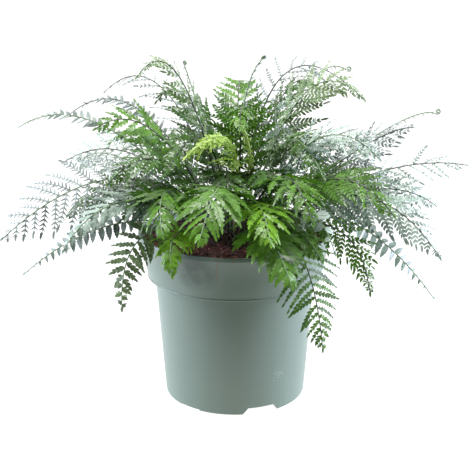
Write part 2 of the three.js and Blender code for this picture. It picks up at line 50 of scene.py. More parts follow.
def addNode(tree, kind, settings=None, **links):
    # settings: node properties, socket values or a ramp's stops. links: socket name (_ for a space) or number
    # (in0) = source
    node = tree.nodes.new("ShaderNode" + kind)
    for key, value in (settings or {}).items():
        if key == "stops":
            setStops(node.color_ramp.elements, value)
        elif isinstance(key, int) or key in node.inputs:
            node.inputs[key].default_value = value
        else:
            setattr(node, key, value)
    for key, source in links.items():
        numbered = key[:2] == "in" and key[2:].isdigit()
        socket = node.inputs[int(key[2:]) if numbered else key.replace("_", " ")]
        tree.links.new(source, socket)
    return node


def setStops(elements, stops):
    while len(elements) < len(stops):
        elements.new(0.5)
    for element, (place, colour) in zip(elements, stops):
        element.position = place
        element.color = hexColour(colour) if isinstance(colour, str) else [colour] * 3 + [1]


def newMaterial(name):
    material = bpy.data.materials.new(name)
    material.use_nodes = True
    tree = material.node_tree
    tree.nodes.clear()
    return material, tree


def addPiece(name, points, faces, materials, slots=None, values=None):
    # points in mm; values: float attributes for each point
    mesh = bpy.data.meshes.new(name)
    mesh.from_pydata((np.asarray(points, dtype=float) * mm).tolist(), [], faces)
    for material in materials:
        mesh.materials.append(material)
    if slots is not None:
        mesh.polygons.foreach_set("material_index", slots)
    mesh.polygons.foreach_set("use_smooth", [True] * len(mesh.polygons))
    for key, numbers in (values or {}).items():
        attribute = mesh.attributes.new(key, "FLOAT", "POINT")
        attribute.data.foreach_set("value", np.asarray(numbers, dtype=np.float32))
    mesh.update()
    piece = bpy.data.objects.new(name, mesh)
    bpy.context.scene.collection.objects.link(piece)
    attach(piece, "root")
    return piece


class Shape:
    # Gathers points, faces, material numbers and point values for one mesh.
    def __init__(self):
        self.points, self.faces, self.slots = [], [], []
        self.tone, self.edge = [], []
        self.count = 0

    def add(self, points, faces, slot=0, tone=0.5, edge=0.0):
        points = np.asarray(points, dtype=float).reshape(-1, 3)
        start = self.count
        self.points.append(points)
        self.faces.extend([tuple(start + i for i in face) for face in faces])
        self.slots.extend([slot] * len(faces))
        self.tone.append(np.broadcast_to(tone, len(points)))
        self.edge.append(np.broadcast_to(edge, len(points)))
        self.count += len(points)

    def piece(self, name, materials):
        return addPiece(name, np.concatenate(self.points), self.faces, materials, self.slots,
                        values={"tone": np.concatenate(self.tone), "edge": np.concatenate(self.edge)})


def unit(v):
    return v / np.linalg.norm(v)


def spin(v, axis, angle):
    axis = unit(axis)
    turned = v * math.cos(angle) + np.cross(axis, v) * math.sin(angle)
    return turned + axis * np.dot(axis, v) * (1 - math.cos(angle))


def turnedFaces(rings, segments, capped=True):
    # faces between neighbouring rings of points, and over the first and the last ring
    faces = [
        (i * segments + k, i * segments + (k + 1) % segments,
         (i + 1) * segments + (k + 1) % segments, (i + 1) * segments + k)
        for i in range(rings - 1) for k in range(segments)
    ]
    if capped:
        last = (rings - 1) * segments
        faces += [tuple(reversed(range(segments))), tuple(range(last, last + segments))]
    return faces


def tube(shape, path, radii, sides, slot, tone=0.5, startSide=None):
    # A closed tube along a path with a radius at each point
    path = np.asarray(path, dtype=float)
    tangents = np.gradient(path, axis=0)
    tangents /= np.linalg.norm(tangents, axis=1)[:, None]
    side = startSide if startSide is not None else np.cross(tangents[0], [0.3, 0.2, 0.93])
    side = unit(side - tangents[0] * np.dot(side, tangents[0]))
    angles = np.arange(sides) * 2 * math.pi / sides
    rings = []
    for point, tangent, radius in zip(path, tangents, radii):
        side = unit(side - tangent * np.dot(side, tangent))
        up = np.cross(side, tangent)
        rings.append(point + radius * (np.cos(angles)[:, None] * side + np.sin(angles)[:, None] * up))
    shape.add(np.concatenate(rings), turnedFaces(len(path), sides), slot, tone, 0.0)


# camera

# distance and height in mm, down in degrees, clip in metres
camera = dict(distance=950, height=440, down=16.4, lens=77.06, sensor=36, clip=0.05)


def makeCamera():
    data = bpy.data.cameras.new("camera")
    data.lens, data.sensor_width = camera["lens"], camera["sensor"]
    data.clip_start = camera["clip"]
    obj = bpy.data.objects.new("camera", data)
    obj.location = (0, -camera["distance"] * mm, camera["height"] * mm)
    obj.rotation_euler = (math.radians(90 - camera["down"]), 0, 0)
    bpy.context.scene.collection.objects.link(obj)
    bpy.context.scene.camera = obj


makeCamera()
print("camera placed")

# materials

leafFinishes = {
    # dark and light leaf colour, colour of light through the leaf, share of light through, roughness
    # deep: the mid green made darker for fronds inside the plant, a painted shade
    "deep": dict(dark="#0C1E06", light="#426C1C", through="#4A7C18", share=0.12, rough=0.32),
    "mid": dict(dark="#142E08", light="#5C8A26", through="#62A01E", share=0.16, rough=0.4),
    "muted": dict(dark="#22381A", light="#82996C", through="#6E8A48", share=0.12, rough=0.34),
    "bright": dict(dark="#264A08", light="#74A626", through="#7CB41E", share=0.22, rough=0.4),
    # ashen: a grey-green leaf whose pale light colour is partly painted sheen of the white room
    "ashen": dict(dark="#283C2A", light="#A0AAA6", through="#76867A", share=0.06, rough=0.3),
    # glaucous: a waxy blue-grey bloom, its pale light colour partly painted sheen of the white room
    "glaucousSheen": dict(dark="#203E26", light="#B2C4B6", through="#6A8C74", share=0.1, rough=0.27),
    "young": dict(dark="#7C9C3C", light="#BAD470", through="#A8CC48", share=0.3, rough=0.42),
}
leafPattern = dict(patches=12, veins=1.1, height=0.4, bump=0.25)  # mm, and the strength of the bump


def leafMaterial(name, dark, light, through, share, rough):
    # Fern leaf: a waxy skin over green flesh. Sheen on the skin, light through the blade, paler veins.
    material, tree = newMaterial(name)
    tone = addNode(tree, "Attribute", {"attribute_name": "tone"}).outputs["Fac"]
    edge = addNode(tree, "Attribute", {"attribute_name": "edge"}).outputs["Fac"]
    place = addNode(tree, "TexCoord").outputs["Object"]
    # patches of uneven green, added to the tone around their mean
    patches = addNode(tree, "TexNoise", {"Scale": 1 / (leafPattern["patches"] * mm), "Detail": 3.0},
                      Vector=place).outputs["Fac"]
    mixTone = addNode(tree, "Math", {"operation": "MULTIPLY_ADD", 1: 0.6}, in0=patches, in2=tone)
    shift = addNode(tree, "Math", {"operation": "SUBTRACT", 1: 0.3}, in0=mixTone.outputs[0]).outputs[0]
    flesh = addNode(tree, "ValToRGB", {"stops": [(0.1, dark), (0.9, light)]}, in0=shift).outputs[0]
    # paler along the middle of each lobe
    vein = addNode(tree, "ValToRGB", {"stops": [(0.0, 0.55), (0.35, 0.0)]}, in0=edge).outputs[0]
    pale = addNode(tree, "MixRGB", {"blend_type": "MIX", "Color2": hexColour(light)}, Fac=vein, Color1=flesh)
    # fine veins, drawn as a soft bump
    veins = addNode(tree, "TexNoise", {"Scale": 1 / (leafPattern["veins"] * mm), "Detail": 2.0},
                    Vector=place).outputs["Fac"]
    bump = addNode(tree, "Bump", {"Strength": leafPattern["bump"], "Distance": leafPattern["height"] * mm},
                   Height=veins).outputs["Normal"]
    skin = addNode(tree, "BsdfPrincipled", {"Roughness": rough, "IOR": 1.48}, Normal=bump,
                   Base_Color=pale.outputs["Color"]).outputs[0]
    glow = addNode(tree, "BsdfTranslucent", {"Color": hexColour(through)}, Normal=bump).outputs[0]
    blade = addNode(tree, "MixShader", {0: share}, in1=skin, in2=glow).outputs[0]
    addNode(tree, "OutputMaterial", in0=blade)
    return material


stalkStreak = 4  # mm, width of a streak on a stalk


def stalkMaterial(name, dark, light, rough):
    # Fern stalk: smooth hard rind, dark below and greener above, with a low gloss
    material, tree = newMaterial(name)
    tone = addNode(tree, "Attribute", {"attribute_name": "tone"}).outputs["Fac"]
    place = addNode(tree, "TexCoord").outputs["Object"]
    streaks = addNode(tree, "TexNoise", {"Scale": 1 / (stalkStreak * mm), "Detail": 3.0},
                      Vector=place).outputs["Fac"]
    mixed = addNode(tree, "Math", {"operation": "MULTIPLY_ADD", 1: 0.4}, in0=streaks, in2=tone).outputs[0]
    colour = addNode(tree, "ValToRGB", {"stops": [(0.2, dark), (1.1, light)]}, in0=mixed).outputs[0]
    rind = addNode(tree, "BsdfPrincipled", {"Roughness": rough}, Base_Color=colour)
    addNode(tree, "OutputMaterial", in0=rind.outputs[0])
    return material


def marks(tree, place, centre, reach, grain, least, most, strength):
    # worn spots, or a patch of painted shadow, within reach of a place on the wall: strength in a spot, 0
    # outside
    away = addNode(tree, "VectorMath", {"operation": "DISTANCE", 1: [c * mm for c in centre]}, in0=place)
    near = addNode(tree, "MapRange", {"From Min": reach * mm, "From Max": 0.0}, in0=away.outputs["Value"])
    spots = addNode(tree, "TexNoise", {"Scale": 1 / (grain * mm), "Detail": 4.0}, Vector=place)
    both = addNode(tree, "Math", {"operation": "MULTIPLY"}, in0=near.outputs[0], in1=spots.outputs["Fac"])
    stops = [(least, 0.0), (most, strength)]
    return addNode(tree, "ValToRGB", {"stops": stops}, in0=both.outputs[0]).outputs[0]


# places and sizes in mm; flow: width and length of a flow streak
potFinish = dict(
    dark="#77897C", light="#798C7F", rough=(0.35, 0.39), ior=1.49, flow=(14, 400), grain=1.5, bump=0.12,
    height=0.2, scuffColour="#B4BEB8", paintedLeafShadowColour="#46544D",
    scuff=dict(centre=(42, -60, 38), reach=40, grain=1.3, least=0.47, most=0.6, strength=0.5),
    # the dark patch under the rim at the front left is painted shadow: the shade of the leaves over the
    # collar
    paintedLeafShadow=dict(centre=(-38, -84, 154), reach=30, grain=12, least=0.05, most=0.42, strength=0.85),
)


def potMaterial():
    # Polypropylene, injection moulded: an even satin sage green with faint flow streaks down the wall, light
    # scuffs low on the right and, under the rim, a painted shadow of the leaves hanging over the collar
    material, tree = newMaterial("mouldedPolypropylene")
    place = addNode(tree, "TexCoord").outputs["Object"]
    across, down = potFinish["flow"]
    flow = addNode(tree, "Mapping", {"Scale": [1 / (size * mm) for size in (across, across, down)]},
                   Vector=place).outputs[0]
    clouds = addNode(tree, "TexNoise", {"Scale": 1.0, "Detail": 4.0}, Vector=flow).outputs["Fac"]
    greens = [(0.3, potFinish["dark"]), (0.7, potFinish["light"])]
    plain = addNode(tree, "ValToRGB", {"stops": greens}, in0=clouds).outputs[0]
    scuffs = marks(tree, place, **potFinish["scuff"])
    scuffed = addNode(tree, "MixRGB", {"Color2": hexColour(potFinish["scuffColour"])}, Fac=scuffs,
                      Color1=plain)
    # painted shadow of the leaves, darkening the wall under the rim
    paintedLeafShadow = marks(tree, place, **potFinish["paintedLeafShadow"])
    colour = addNode(tree, "MixRGB", {"Color2": hexColour(potFinish["paintedLeafShadowColour"])}, Fac=paintedLeafShadow,
                     Color1=scuffed.outputs[0]).outputs[0]
    grain = addNode(tree, "TexNoise", {"Scale": 1 / (potFinish["grain"] * mm), "Detail": 3.0},
                    Vector=place).outputs["Fac"]
    smooth, dull = potFinish["rough"]
    rough = addNode(tree, "ValToRGB", {"stops": [(0.3, smooth), (0.7, dull)]}, in0=clouds).outputs[0]
    bump = addNode(tree, "Bump", {"Strength": potFinish["bump"], "Distance": potFinish["height"] * mm},
                   Height=grain).outputs["Normal"]
    wall = addNode(tree, "BsdfPrincipled", {"IOR": potFinish["ior"]}, Base_Color=colour, Roughness=rough,
                   Normal=bump)
    addNode(tree, "OutputMaterial", in0=wall.outputs[0])
    return material


def earthMaterial(name, stops, rough, grain):
    # Damp earth or bark: dull, crumbly, many browns side by side. grain: size of its grains in mm
    material, tree = newMaterial(name)
    place = addNode(tree, "TexCoord").outputs["Object"]
    tone = addNode(tree, "Attribute", {"attribute_name": "tone"}).outputs["Fac"]
    grains = addNode(tree, "TexNoise", {"Scale": 1 / (grain * mm), "Detail": 5.0},
                     Vector=place).outputs["Fac"]
    mixed = addNode(tree, "Math", {"operation": "MULTIPLY_ADD", 1: 0.6}, in0=grains, in2=tone).outputs[0]
    shift = addNode(tree, "Math", {"operation": "SUBTRACT", 1: 0.3}, in0=mixed).outputs[0]
    colour = addNode(tree, "ValToRGB", {"stops": stops}, in0=shift).outputs[0]
    bump = addNode(tree, "Bump", {"Strength": 0.6, "Distance": 0.001}, Height=grains).outputs["Normal"]
    earth = addNode(tree, "BsdfPrincipled", {"Roughness": rough, "Specular IOR Level": 0.3},
                    Base_Color=colour, Normal=bump)
    addNode(tree, "OutputMaterial", in0=earth.outputs[0])
    return material


leaf = {name: leafMaterial("leaf" + name.capitalize(), **finish) for name, finish in leafFinishes.items()}
stalkFinish = {
    "dark": stalkMaterial("darkStalk", "#1B1712", "#3C4630", 0.35),
    "green": stalkMaterial("greenStalk", "#30402A", "#6A845A", 0.4),
    "pale": stalkMaterial("paleStalk", "#7E9448", "#B4CA78", 0.45),
}
polypropylene = potMaterial()
pottingSoil = earthMaterial(
    "pottingSoil", [(0.0, "#1E1110"), (0.45, "#4E2C24"), (0.8, "#845040"), (1.0, "#A67C60")], 0.9, 2)
crownScales = earthMaterial("crownScales", [(0.0, "#140D0A"), (0.6, "#38231A"), (1.0, "#6E4A32")], 0.7, 3)
print("materials made")

# pot

# in mm, but notchFirst and sharp in degrees
pot = dict(
    segments=160, height=166, rim=95, rimInside=92.6, collarFoot=86, collarZ=123, neck=79, foot=70, wall=1.4,
    floor=8, footRing=3, notchFirst=-69, notchWide=38, notchNarrow=26, notchHeight=7, shallow=1.6, holes=6,
    holeRing=52, holeRadius=5, holeSides=24, sharp=38,
)


def arc(centre, radius, start, end, steps):
    angles = np.radians(np.linspace(start, end, steps))
    return [(centre[0] + radius * math.cos(a), centre[1] + radius * math.sin(a)) for a in angles]


def makePot():
    p = pot
    foot, neck, collar, ledge, rim, top = (
        p[key] for key in ("foot", "neck", "collarFoot", "collarZ", "rim", "height"))
    inner = foot - p["footRing"]
    # from the middle of the floor's underside to the foot, up the wall and over the rim, each edge rounded
    outside = (
        [(0, p["floor"]), (inner - 1, p["floor"]), (inner, p["floor"] - 1)]
        + arc((inner + 0.6, 0.6), 0.6, 180, 270, 4)
        + arc((foot - 1.6, 1.6), 1.6, -90, -2, 6)
        + [(foot + 0.32, 5), (foot + 2.9, 40), (foot + 6, 82), (neck - 0.5, ledge - 8)]
        + arc((neck + 1.6, ledge - 3.6), 1.9, 180, 92, 5)
        + [(collar - 2.2, ledge - 1.2)]
        + arc((collar - 0.4, ledge - 0.1), 0.9, -90, 60, 7)
        + [(collar + 0.1, ledge + 1.3), (collar + 0.3, ledge + 2.6), (collar + 4.2, ledge + 21)]
        + [(rim - 0.9, top - 5.2)]
        + arc((rim - 1.0, top - 3.4), 1.0, -30, 20, 4)
        + arc((rim - 1.2, top - 1.2), 1.2, 10, 90, 5)
        + arc((p["rimInside"] + 0.5, top - 0.5), 0.5, 90, 180, 3)
    )
    inside = [(collar - p["wall"], ledge + 3), (neck - p["wall"], ledge - 3),
              (foot - p["wall"] + 0.6, p["floor"] + 2), (0, p["floor"] + 2)]
    profile = np.array(outside + inside)
    angles = np.arange(p["segments"]) * 2 * math.pi / p["segments"]
    rings = profile[1:-1]
    points = np.concatenate([
        np.stack([r * np.cos(angles), r * np.sin(angles), np.full(len(angles), z)], axis=1)
        for r, z in rings])
    faces = turnedFaces(len(rings), p["segments"])
    piece = addPiece("nurseryPot", points, faces, [polypropylene])
    cutters = []
    # each kind of notch: bearing past the first one, width below and above, height
    notches = ((0, p["notchWide"], p["notchNarrow"], p["notchHeight"]),
               (60, p["notchNarrow"], p["notchNarrow"] - 4, p["shallow"]))
    for i in range(3):
        for offset, wide, narrow, height in notches:
            turn = Matrix.Rotation(math.radians(p["notchFirst"] + 120 * i + offset), 4, "Z")
            outline = [(-wide / 2, -1), (wide / 2, -1), (narrow / 2, height), (-narrow / 2, height)]
            corners = [turn @ Vector((x, y, z)) for x in (foot - 12, foot + 12) for y, z in outline]
            cutters.append(([tuple(c) for c in corners], 4))
    count = p["holeSides"]
    for i in range(p["holes"]):
        bearing = math.radians(p["notchFirst"] + 360 / p["holes"] * i)
        x, y = p["holeRing"] * math.cos(bearing), p["holeRing"] * math.sin(bearing)
        ring = [(x + p["holeRadius"] * math.cos(a), y + p["holeRadius"] * math.sin(a))
                for a in np.arange(count) * 2 * math.pi / count]
        corners = [(*point, z) for z in (p["floor"] - 5, p["floor"] + 8) for point in ring]
        cutters.append((corners, count))
    shape = Shape()
    for corners, sides in cutters:
        shape.add(corners, turnedFaces(2, sides))
    cutter = shape.piece("cutter", [])
    modifier = piece.modifiers.new("notches", "BOOLEAN")
    modifier.object, modifier.operation, modifier.solver = cutter, "DIFFERENCE", "EXACT"
    applyModifiers(piece)
    bpy.data.objects.remove(cutter)
    piece.data.set_sharp_from_angle(angle=math.radians(p["sharp"]))
    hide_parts("pot")


def applyModifiers(piece):
    graph = bpy.context.evaluated_depsgraph_get()
    mesh = bpy.data.meshes.new_from_object(piece.evaluated_get(graph))
    piece.modifiers.clear()
    piece.data = mesh


makePot()
print("pot made")

# soil

# roots that hang over the rim: points in mm
hangingRoots = [
    [(-9, -84, 157.5), (-11, -90, 164.5), (-13, -94, 167.2), (-15, -96.2, 165), (-17, -96.4, 158),
     (-17, -94.6, 150), (-15, -93, 143)],
    [(2, -85, 157.5), (1, -91, 165.5), (-1, -94.5, 167.2), (-2, -96.3, 164), (-3, -96.2, 159)],
]
soil = dict(
    hangingRoots=hangingRoots, topZ=157, bottomZ=150, radius=90.2, innerRadius=12, mound=3, rings=46,
    segments=150, seed=11, crumbs=620, crumbSize=(0.7, 2.4), fibres=150, fibreRadius=0.22, fibrePoints=7,
    fibreStep=1.6, lumps=((0, 14, 1.4), (7, 4.5, 1.2), (3, 2.1, 0.6)),  # level in the noise, width, height
)
# the crown's sizes stand here because the soil rises to it
crown = dict(radius=40, shoulder=34, rise=7, segments=60, rings=14, seed=5, scales=420, scaleLength=(4, 8),
             scaleWidth=(0.5, 1.0))
topOfSoil = soil["topZ"] + soil["mound"]


def soilHeight(x, y):
    r = math.hypot(x, y)
    share = min(max((soil["radius"] - r) / (soil["radius"] - crown["radius"]), 0), 1)
    base = soil["topZ"] - 1.5 + (soil["mound"] + 1.5) * math.sin(share * math.pi / 2)
    lump = sum(noise.noise(Vector((x, y, level)) / wide) * high for level, wide, high in soil["lumps"])
    return base + lump * min(1, (soil["radius"] - r) / 4 + 0.25)  # flatter at the wall


def crumb(rng, size):
    # A flattened, uneven grain: an icosahedron with its corners moved in and out
    t = (1 + 5 ** 0.5) / 2
    corners = np.array([(-1, t, 0), (1, t, 0), (-1, -t, 0), (1, -t, 0), (0, -1, t), (0, 1, t),
                        (0, -1, -t), (0, 1, -t), (t, 0, -1), (t, 0, 1), (-t, 0, -1), (-t, 0, 1)]) / 1.9
    faces = [(0, 11, 5), (0, 5, 1), (0, 1, 7), (0, 7, 10), (0, 10, 11), (1, 5, 9), (5, 11, 4), (11, 10, 2),
             (10, 7, 6), (7, 1, 8), (3, 9, 4), (3, 4, 2), (3, 2, 6), (3, 6, 8), (3, 8, 9), (4, 9, 5),
             (2, 4, 11), (6, 2, 10), (8, 6, 7), (9, 8, 1)]
    corners *= rng.uniform(0.7, 1.3, (12, 1))
    corners *= size * np.array([rng.uniform(0.8, 1.8), rng.uniform(0.6, 1.0), rng.uniform(0.4, 0.8)])
    turn = Matrix.Rotation(rng.uniform(0, 6.28), 3, "Z") @ Matrix.Rotation(rng.uniform(-0.6, 0.6), 3, "X")
    return corners @ np.array(turn).T, faces


def makeSoil():
    rng = np.random.default_rng(soil["seed"])
    shape = Shape()
    segments, rings = soil["segments"], soil["rings"]
    radii = np.linspace(soil["innerRadius"], soil["radius"], rings)
    angles = np.arange(segments) * 2 * math.pi / segments
    top = [(r * math.cos(a), r * math.sin(a), soilHeight(r * math.cos(a), r * math.sin(a)))
           for r in radii for a in angles]
    points = top + [(x, y, soil["bottomZ"]) for x, y, _ in top[-segments:]]
    faces = [tuple(reversed(f)) for f in turnedFaces(rings + 1, segments)]
    shape.add(points, faces, 0, np.clip(rng.normal(0.35, 0.12, len(points)), 0, 1))
    for _ in range(soil["crumbs"]):
        bearing, r = rng.uniform(0, 2 * math.pi), soil["radius"] * math.sqrt(rng.uniform(0.16, 0.96))
        x, y = r * math.cos(bearing), r * math.sin(bearing)
        corners, sides = crumb(rng, rng.uniform(*soil["crumbSize"]))
        shape.add(corners + [x, y, soilHeight(x, y) + 0.2], sides, 0, rng.uniform(0.1, 0.95))
    for _ in range(soil["fibres"]):
        bearing, r = rng.uniform(0, 2 * math.pi), soil["radius"] * math.sqrt(rng.uniform(0.16, 0.94))
        x, y = r * math.cos(bearing), r * math.sin(bearing)
        heading, bend = rng.uniform(0, 2 * math.pi), rng.uniform(-1.2, 1.2)
        path = []
        for k in range(soil["fibrePoints"]):
            limit = min(1, (soil["radius"] - 1) / math.hypot(x, y))
            x, y = x * limit, y * limit
            path.append((x, y, soilHeight(x, y) + 0.5 + 0.9 * math.sin(k * 1.1 + bend)))
            ahead = heading + bend * k / 4
            x, y = x + soil["fibreStep"] * math.cos(ahead), y + soil["fibreStep"] * math.sin(ahead)
        tube(shape, path, [soil["fibreRadius"]] * len(path), 4, 0, rng.uniform(0.4, 1.0))
    for path in soil["hangingRoots"]:
        tube(shape, path, np.linspace(0.4, 0.2, len(path)), 5, 0, 0.98)
    piece = shape.piece("pottingSoil", [pottingSoil])
    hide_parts("soil")


makeSoil()
print("soil made")


# crown

def crownHeight(radius):
    sides = [(crown["radius"], topOfSoil), (crown["shoulder"], topOfSoil + crown["rise"] * 0.55),
             (crown["shoulder"] * 0.55, topOfSoil + crown["rise"] * 0.9), (0, topOfSoil + crown["rise"])]
    for (r0, z0), (r1, z1) in zip(sides, sides[1:]):
        if radius >= r1:
            return z1 + (z0 - z1) * (radius - r1) / (r0 - r1)
    return sides[-1][1]


def makeCrown():
    rng = np.random.default_rng(crown["seed"])
    shape = Shape()
    segments, rings = crown["segments"], crown["rings"]
    points = []
    for i in range(rings):
        r = crown["radius"] * math.sin(math.pi / 2 * (1 - i / rings)) ** 0.9
        for k in range(segments):
            a = 2 * math.pi * k / segments
            x, y = r * math.cos(a), r * math.sin(a)
            points.append((x, y, crownHeight(r) - 0.4 + 1.6 * noise.noise(Vector((x, y, 0)) / 9)))
    base = [(x, y, soil["bottomZ"]) for x, y, _ in points[:segments]]
    points = base + points + [(0, 0, crownHeight(0))]
    faces = turnedFaces(rings + 1, segments, capped=False)
    last = rings * segments
    faces += [(last + k, last + (k + 1) % segments, len(points) - 1) for k in range(segments)]
    faces.append(tuple(reversed(range(segments))))
    shape.add(points, faces, 0, 0.3)
    # pointed scales, lying outwards and upwards
    for _ in range(crown["scales"]):
        bearing, r = rng.uniform(0, 2 * math.pi), crown["radius"] * math.sqrt(rng.uniform(0.02, 0.98))
        foot = np.array([r * math.cos(bearing), r * math.sin(bearing), crownHeight(r) - 0.5])
        out = np.array([math.cos(bearing + rng.normal(0, 0.5)), math.sin(bearing + rng.normal(0, 0.5)), 0])
        out = unit(out + np.array([0, 0, rng.uniform(0.3, 1.4)]))
        side = unit(np.cross(out, [0, 0, 1]))
        up = np.cross(side, out)
        length, width = rng.uniform(*crown["scaleLength"]), rng.uniform(*crown["scaleWidth"])
        corners = [foot - side * width, foot + side * width, foot + up * 0.4,
                   foot + out * length * 0.6 - side * width * 0.7 - up * 0.4,
                   foot + out * length * 0.6 + side * width * 0.7 - up * 0.4,
                   foot + out * length * 0.6 + up * 0.2, foot + out * length - up * 1.2]
        sides = [(0, 3, 5, 2), (2, 5, 4, 1), (1, 4, 3, 0), (3, 6, 5), (5, 6, 4), (4, 6, 3), (0, 2, 1)]
        shape.add(corners, sides, 0, rng.uniform(0.2, 1.0))
    piece = shape.piece("scalyCrown", [crownScales])
    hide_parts("crown")


makeCrown()
print("crown made")


# leaf outlines

def rowsOutline(rows):
    # rows: share of the length, half width on the near side and on the far side
    points = [(u, v) for u, near, far in rows for v in (-near, 0, far)]
    faces = []
    for i in range(len(rows) - 1):
        a, b = 3 * i, 3 * i + 3
        faces += [(a, a + 1, b + 1, b), (a + 1, a + 2, b + 2, b + 1)]
    if rows[-1][1] == 0:
        a, tip = 3 * (len(rows) - 2), 3 * (len(rows) - 1)
        faces = faces[:-2] + [(a, a + 1, tip), (a + 1, a + 2, tip)]
        points = points[:-2]
    return np.array(points), faces


outlines = {
    "tip": rowsOutline([(0, 0.5, 0.5), (0.3, 0.9, 1.0), (0.65, 0.7, 0.8), (1, 0, 0)]),
    "leaflet": rowsOutline([(0, 0.1, 0.3), (0.06, 0.25, 0.8), (0.12, 0.34, 0.7), (0.22, 0.46, 1.0),
                            (0.28, 0.5, 0.82), (0.4, 0.58, 0.98), (0.46, 0.5, 0.76), (0.58, 0.52, 0.8),
                            (0.64, 0.4, 0.56), (0.76, 0.4, 0.54), (0.82, 0.26, 0.34), (0.93, 0.18, 0.22),
                            (1, 0, 0)]),
    "round": rowsOutline([(0, 0.12, 0.2), (0.12, 0.5, 0.7), (0.3, 0.85, 1.0), (0.5, 0.98, 1.05),
                          (0.68, 0.86, 0.9), (0.72, 0.7, 0.76), (0.86, 0.56, 0.6), (0.9, 0.36, 0.4),
                          (1, 0, 0)]),
}
# one lobe of a pinna's edge: share of the lobes' spacing along it, share of the half width outwards
lobes = {
    "needle": [(0.02, 0.1), (0.12, 0.5), (0.32, 1.0), (0.5, 0.5), (0.56, 0.1)],
    "saw": [(0.0, 0.3), (0.08, 0.7), (0.34, 1.0), (0.66, 0.82), (0.86, 0.6), (0.94, 0.3)],
    "wedge": [(0.05, 0.14), (0.0, 0.55), (0.1, 0.92), (0.26, 0.86), (0.42, 1.0), (0.56, 0.84), (0.74, 0.86),
              (0.78, 0.5), (0.7, 0.14)],
    "toothed": [(0.0, 0.45), (0.02, 0.74), (0.2, 0.84), (0.26, 0.98), (0.46, 0.92), (0.6, 1.0), (0.74, 0.8),
                (0.92, 0.78), (1.0, 0.45)],
}

# fronds

# pairs: of pinnae on a frond. gap: spacing of the lobes on a pinna, 0 where it is one whole leaflet. width,
# least: half width of a pinna as a share of its length, and in mm at least. lean: how far the lobes point to
# its tip. rise, sag: how each lobe stands up from the pinna's rib and hangs at its edge. blunt: how late the
# lobes shrink to the tip. ruffle: unevenness of the lobes. curl, forward, uneven: of the pinnae. rib: radius
# of their ribs. fold: of a whole leaflet. widest, taper, base, sweep: as in the CAD.
# lobed: what a cut with lobes has where it gives no value of its own
lobed = dict(width=0.15, lean=0.9, rise=0.15, sag=0.2, blunt=2.2, ruffle=0.2, curl=0.16, forward=0.14,
             uneven=10, rib=0.45, widest=0.35, taper=1.4, base=0.7, sweep=24)
cuts = {
    "lace": dict(lobed, pairs=15, gap=4.2, lobe="needle", least=4.8, lean=0.8, rise=0.1, sag=0.1, blunt=5,
                 curl=0.1, forward=0.1, uneven=6, rib=0.8, taper=1.8, sweep=18),
    "airy": dict(lobed, pairs=13, gap=4.0, lobe="needle", width=0.1, least=3.4, lean=0.8, rise=0.1, sag=0.1,
                 blunt=4, rib=0.6, taper=2.2, base=0.75),
    "plume": dict(lobed, pairs=16, gap=3.8, lobe="wedge", least=3.6, lean=0.75),
    "saw": dict(lobed, pairs=14, gap=3.6, lobe="saw", least=3.2, ruffle=0.18),
    "comb": dict(lobed, pairs=18, gap=3.4, lobe="saw", width=0.07, least=2.7, blunt=4, ruffle=0.16, curl=0.14,
                 forward=0.2, uneven=6, widest=0.25, taper=1.7, base=0.95, sweep=10),
    "toothed": dict(lobed, pairs=14, gap=3.6, lobe="toothed", width=0.14, least=3.2, blunt=3, ruffle=0.14,
                    curl=0.14, forward=0.1, uneven=8, widest=0.3, taper=1.5, base=0.9, sweep=12),
    "leafy": dict(lobed, pairs=13, gap=4.0, lobe="toothed", least=3.6, lean=0.75, rise=0.2, sag=0.3, blunt=3,
                  ruffle=0.12, curl=0.18, forward=0.2, uneven=9, widest=0.3, taper=1.6, base=0.85, sweep=26),
    "broad": dict(lobed, pairs=11, gap=4.6, lobe="toothed", width=0.22, least=4.6, lean=0.7, rise=0.2,
                  sag=0.3, blunt=3, ruffle=0.1, curl=0.18, forward=0.16, uneven=8, widest=0.3, taper=1.8,
                  base=0.85, sweep=26),
    "young": dict(lobed, pairs=17, gap=2.6, lobe="wedge", width=0.26, least=2.8, rise=0.6, ruffle=0.22,
                  curl=0.9, forward=0.5, uneven=22, rib=0.55, widest=0.3, taper=2.4, base=0.8, sweep=34),
    "single": dict(pairs=17, gap=0, outline="leaflet", width=0.3, fold=0.16, curl=0.12, uneven=8, widest=0.35,
                   taper=1.5, base=0.6, sweep=10),
    "slender": dict(pairs=24, gap=0, outline="leaflet", width=0.24, fold=0.16, curl=0.12, uneven=12,
                    widest=0.5, taper=2.4, base=0.4, sweep=30),
    "rounded": dict(pairs=6, gap=0, outline="round", width=0.38, fold=0.2, curl=0.3, uneven=12, widest=0.25,
                    taper=2.0, base=0.85, sweep=14),
}

